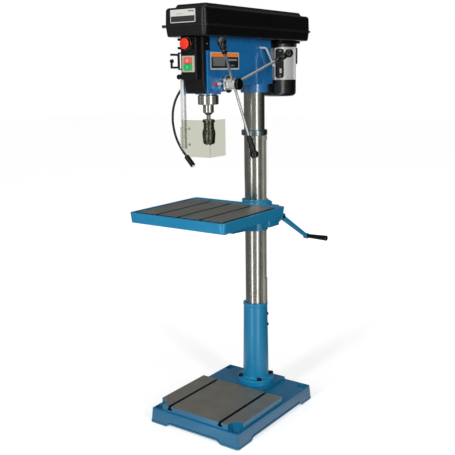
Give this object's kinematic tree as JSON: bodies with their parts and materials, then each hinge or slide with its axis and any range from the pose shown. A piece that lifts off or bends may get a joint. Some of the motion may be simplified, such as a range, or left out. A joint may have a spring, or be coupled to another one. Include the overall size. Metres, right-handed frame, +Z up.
{
  "type": "floor pillar drill",
  "caption": "Floor-standing pillar drill: cast base, steel column with rack, tilting slotted table, geared head with spoked feed, belt cover, rear motor, chuck guard and lamp.",
  "frame": {"origin": "centre of the four floor-bolt holes, on the floor", "axes": "+Z up, -Y towards the operator, +X towards the feed handles"},
  "size_m": [0.5293, 0.9017, 1.7715],
  "materials": {
    "base_paint": "satin",
    "table_paint": "satin",
    "head_paint": "gloss",
    "ground_steel": "ground",
    "rack_steel": "machined",
    "bolt_steel": "zinc",
    "bright_chrome": "polished",
    "jaw_steel": "hardened",
    "cover_black": "satin",
    "black_plastic": "satin",
    "grip_black": "gloss",
    "neck_black": "matte",
    "plate_grey": "satin",
    "stop_red": "satin",
    "start_green": "satin",
    "pointer_red": "satin",
    "pulley_alloy": "cast",
    "arm_iron": "cast",
    "motor_silver": "metallic",
    "rod_alloy": "extruded",
    "clear_sheet": "clear plastic"
  },
  "bodies": {
    "frame": {"base_casting": "base_paint", "column_post": "base_paint", "post_bolts": "bolt_steel", "column": "ground_steel", "rack_collar": "base_paint", "head_casting": "head_paint", "front_cover": "cover_black", "switch_box": "black_plastic", "switch_plate": "plate_grey", "belt_tray": "cover_black", "idler_arm": "arm_iron", "front_belt": "neck_black", "depth_pointer": "pointer_red", "spring_case": "cover_black", "return_spring": "rack_steel", "guard_bracket": "cover_black", "lamp_arm": "neck_black", "lamp_head": "black_plastic"},
    "rack_carrier": {"rack": "rack_steel"},
    "bracket": {"table_bracket": "base_paint", "tilt_bolt": "ground_steel"},
    "crank": {"crank_worm": "rack_steel", "crank_arm": "base_paint"},
    "crank_handle": {"crank_grip": "grip_black"},
    "gear": {"lift_gear": "rack_steel"},
    "clamp": {"clamp_lever": "bolt_steel"},
    "worktable": {"table": "table_paint"},
    "lid": {"belt_lid": "cover_black"},
    "front_pulley": {"spindle_pulley": "pulley_alloy"},
    "middle_pulley": {"idler_pulley": "pulley_alloy"},
    "motor": {"motor_body": "motor_silver", "motor_end_bell": "cover_black", "fan_cover": "cover_black", "capacitor_boxes": "black_plastic", "motor_plate": "cover_black", "rear_belt": "neck_black"},
    "rotor": {"motor_shaft": "rack_steel", "motor_pulley": "pulley_alloy"},
    "tensioner": {"tension_lever": "bright_chrome"},
    "quill_set": {"quill": "ground_steel", "quill_collar": "ground_steel", "quill_bearings": "rack_steel"},
    "spindle_set": {"spindle": "ground_steel", "chuck_body": "bright_chrome"},
    "sleeve": {"chuck_sleeve": "bright_chrome"},
    "jaw_1": {"chuck_jaw_1": "jaw_steel"},
    "jaw_2": {"chuck_jaw_2": "jaw_steel"},
    "jaw_3": {"chuck_jaw_3": "jaw_steel"},
    "feed": {"feed_hub": "bright_chrome", "feed_rods": "bright_chrome", "feed_grips": "grip_black", "hub_cap": "black_plastic"},
    "dial": {"depth_ring": "cover_black"},
    "estop": {"stop_mushroom": "stop_red"},
    "stop_key": {"stop_button": "stop_red"},
    "start_key": {"start_button": "start_green"},
    "flap": {"switch_flap": "black_plastic"},
    "guard_post": {"guard_rod": "rod_alloy"},
    "shield": {"guard_shield": "clear_sheet"},
    "guard_lock": {"guard_knob": "black_plastic"}
  },
  "joints": [
    {"name": "table_swivel", "type": "hinge", "parent": "frame", "child": "rack_carrier", "pos_m": [0, 0.187, 0.8], "axis": [0, 0, 1], "range_deg": [-180, 180]},
    {"name": "table_lift", "type": "slide", "parent": "rack_carrier", "child": "bracket", "axis": [0, 0, 1], "range_m": [-0.27, 0.16]},
    {"name": "crank_turn", "type": "hinge", "parent": "bracket", "child": "crank", "pos_m": [0.118, 0.226, 0.874], "axis": [1, 0, 0], "range_deg": [-20600, 12200]},
    {"name": "gear_turn", "type": "hinge", "parent": "bracket", "child": "gear", "pos_m": [0.0725, 0.187, 0.9002], "axis": [0, 1, 0], "range_deg": [-611, 1031]},
    {"name": "crank_grip_spin", "type": "hinge", "parent": "crank", "child": "crank_handle", "pos_m": [0.24, 0.337, 0.773], "axis": [1, 0, 0], "continuous": true},
    {"name": "clamp_turn", "type": "hinge", "parent": "bracket", "child": "clamp", "pos_m": [0, 0.265, 0.882], "axis": [1, 0, 0], "range_deg": [-8, 60]},
    {"name": "table_tilt", "type": "hinge", "parent": "bracket", "child": "worktable", "pos_m": [0, -0.043, 0.868], "axis": [0, 1, 0], "range_deg": [-45, 45]},
    {"name": "lid_open", "type": "hinge", "parent": "frame", "child": "lid", "pos_m": [-0.1125, 0.1, 1.689], "axis": [0, -1, 0], "range_deg": [0, 100]},
    {"name": "pulley_spin", "type": "hinge", "parent": "frame", "child": "front_pulley", "pos_m": [0, -0.149, 1.69], "axis": [0, 0, 1], "continuous": true},
    {"name": "idler_spin", "type": "hinge", "parent": "frame", "child": "middle_pulley", "pos_m": [0, 0.118, 1.69], "axis": [0, 0, 1], "continuous": true},
    {"name": "motor_slide", "type": "slide", "parent": "frame", "child": "motor", "axis": [0, 1, 0], "range_m": [-0.025, 0]},
    {"name": "motor_spin", "type": "hinge", "parent": "motor", "child": "rotor", "pos_m": [0, 0.39, 1.69], "axis": [0, 0, 1], "continuous": true},
    {"name": "tension_turn", "type": "hinge", "parent": "frame", "child": "tensioner", "pos_m": [0.06, 0.16, 1.613], "axis": [1, 0, 0], "range_deg": [0, 61]},
    {"name": "feed_turn", "type": "hinge", "parent": "frame", "child": "feed", "pos_m": [0.06, -0.103, 1.465], "axis": [1, 0, 0], "range_deg": [0, 572.5], "stiffness_Nm_per_rad": 0.35, "springref_deg": -343.77},
    {"name": "quill_feed", "type": "slide", "parent": "frame", "child": "quill_set", "axis": [0, 0, 1], "range_m": [-0.12, 0]},
    {"name": "spindle_spin", "type": "hinge", "parent": "quill_set", "child": "spindle_set", "pos_m": [0, -0.149, 1.4], "axis": [0, 0, 1], "continuous": true},
    {"name": "chuck_turn", "type": "hinge", "parent": "spindle_set", "child": "sleeve", "pos_m": [0, -0.149, 1.26], "axis": [0, 0, 1], "range_deg": [0, 1440]},
    {"name": "dial_turn", "type": "hinge", "parent": "feed", "child": "dial", "pos_m": [0.064, -0.103, 1.465], "axis": [1, 0, 0], "range_deg": [-170, 170]},
    {"name": "estop_press", "type": "slide", "parent": "frame", "child": "estop", "axis": [0, 1, 0], "range_m": [0, 0.005], "stiffness_N_per_m": 700, "springref_m": -0.003},
    {"name": "stop_press", "type": "slide", "parent": "frame", "child": "stop_key", "axis": [0, 1, 0], "range_m": [0, 0.004], "stiffness_N_per_m": 500, "springref_m": -0.002},
    {"name": "start_press", "type": "slide", "parent": "frame", "child": "start_key", "axis": [0, 1, 0], "range_m": [0, 0.004], "stiffness_N_per_m": 500, "springref_m": -0.002},
    {"name": "flap_turn", "type": "hinge", "parent": "frame", "child": "flap", "pos_m": [-0.0355, -0.286, 1.556], "axis": [0, 0, 1], "range_deg": [0, 90]},
    {"name": "guard_swing", "type": "hinge", "parent": "frame", "child": "guard_post", "pos_m": [-0.072, -0.22, 1.4], "axis": [0, 0, 1], "range_deg": [-120, 0]},
    {"name": "guard_height", "type": "slide", "parent": "guard_post", "child": "shield", "axis": [0, 0, 1], "range_m": [-0.006, 0.09]},
    {"name": "guard_lock_turn", "type": "hinge", "parent": "frame", "child": "guard_lock", "pos_m": [-0.072, -0.24, 1.496], "axis": [0, 1, 0], "range_deg": [-180, 180]},
    {"name": "jaw_1_slide", "type": "slide", "parent": "spindle_set", "child": "jaw_1", "axis": [0, 0.1736, 0.9848], "range_m": [-0.0161, 0]},
    {"name": "jaw_2_slide", "type": "slide", "parent": "spindle_set", "child": "jaw_2", "axis": [-0.1504, -0.0868, 0.9848], "range_m": [-0.0161, 0]},
    {"name": "jaw_3_slide", "type": "slide", "parent": "spindle_set", "child": "jaw_3", "axis": [0.1504, -0.0868, 0.9848], "range_m": [-0.0161, 0]}
  ],
  "couplings": [
    {"joint": "table_lift", "follows": "crank_turn", "m_per_rad": 0.00075},
    {"joint": "gear_turn", "follows": "crank_turn", "ratio": -0.05},
    {"joint": "idler_spin", "follows": "pulley_spin", "ratio": 1.3077},
    {"joint": "motor_spin", "follows": "pulley_spin", "ratio": 1.3077},
    {"joint": "spindle_spin", "follows": "pulley_spin", "ratio": 1},
    {"joint": "quill_feed", "follows": "feed_turn", "m_per_rad": -0.012},
    {"joint": "tension_turn", "follows": "motor_slide", "rad_per_m": -41.9},
    {"joint": "jaw_1_slide", "follows": "chuck_turn", "m_per_rad": -0.00063662},
    {"joint": "jaw_2_slide", "follows": "chuck_turn", "m_per_rad": -0.00063662},
    {"joint": "jaw_3_slide", "follows": "chuck_turn", "m_per_rad": -0.00063662}
  ]
}
